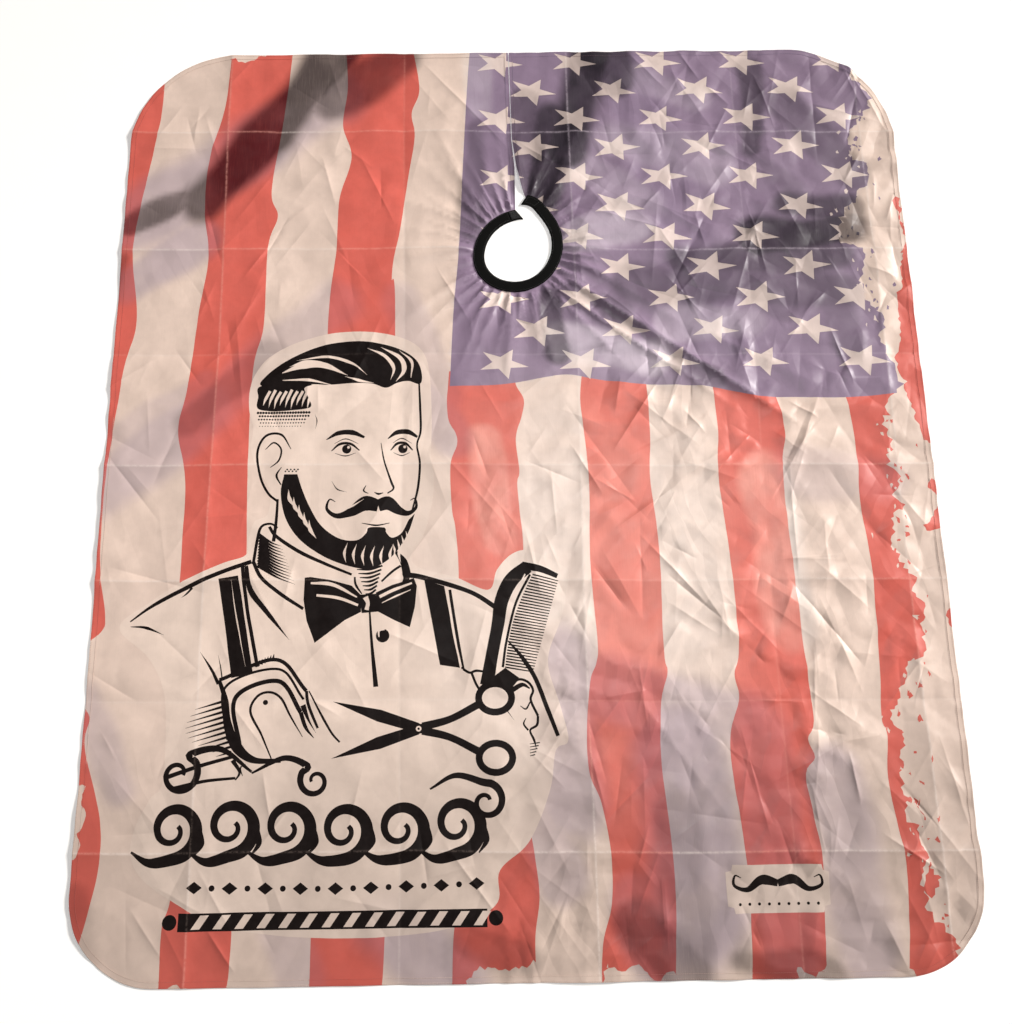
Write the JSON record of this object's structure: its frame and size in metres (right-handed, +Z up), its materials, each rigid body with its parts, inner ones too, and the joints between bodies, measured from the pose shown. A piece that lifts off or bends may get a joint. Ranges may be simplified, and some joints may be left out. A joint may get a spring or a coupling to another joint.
{
  "type": "barber cape",
  "caption": "Barber cape laid flat: printed satin panel with rounded corners, hemmed edge, back slit and a gathered black neckband with hook-and-loop end tabs.",
  "frame": {"origin": "centre of the cape's bounding box, on the surface that the cape lies on", "axes": "+Z up from the printed face; +Y along the length, towards the neck edge with the back slit; +X across the width, to the right of the printed face with the neck edge away from the viewer"},
  "size_m": [1.4, 1.6, 0.0038],
  "materials": {
    "printed_satin": "printed polyester satin, soft sheen",
    "hem_cloth": "folded satin",
    "overlock_thread": "overlocked thread",
    "hem_thread": "polyester thread",
    "band_cloth": "matt black stretch cloth",
    "woven_elastic": "ribbed elastic",
    "black_thread": "polyester thread",
    "loop_pile": "looped pile tape",
    "hook_tape": "moulded hooks on woven tape"
  },
  "bodies": {
    "cape": {"cape_panel": "printed_satin", "perimeter_hem": "hem_cloth", "hem_overlock": "overlock_thread", "hem_stitching": "hem_thread", "slit_hem_left": "hem_cloth", "slit_hem_right": "hem_cloth", "slit_stitching_left": "hem_thread", "slit_stitching_right": "hem_thread", "neckband_outer": "band_cloth", "neckband_lining": "band_cloth", "neckband_elastic": "woven_elastic", "gathering_thread": "black_thread", "band_seam_stitching": "black_thread", "band_edge_stitching": "black_thread"},
    "left_tab": {"closure_tab_left": "band_cloth", "loop_tape": "loop_pile", "loop_tape_stitching": "black_thread"},
    "right_tab": {"closure_tab_right": "band_cloth", "hook_tape": "hook_tape", "hook_tape_stitching": "black_thread"}
  },
  "joints": [
    {"name": "left_tab_lift", "type": "hinge", "parent": "cape", "child": "left_tab", "pos_m": [-0.00949, 0.46256, 0.0035], "axis": [0.342, -0.9397, 0], "range_deg": [0, 110]},
    {"name": "right_tab_lift", "type": "hinge", "parent": "cape", "child": "right_tab", "pos_m": [0.04344, 0.48292, 0.0035], "axis": [0.7771, 0.6293, 0], "range_deg": [0, 130]}
  ]
}
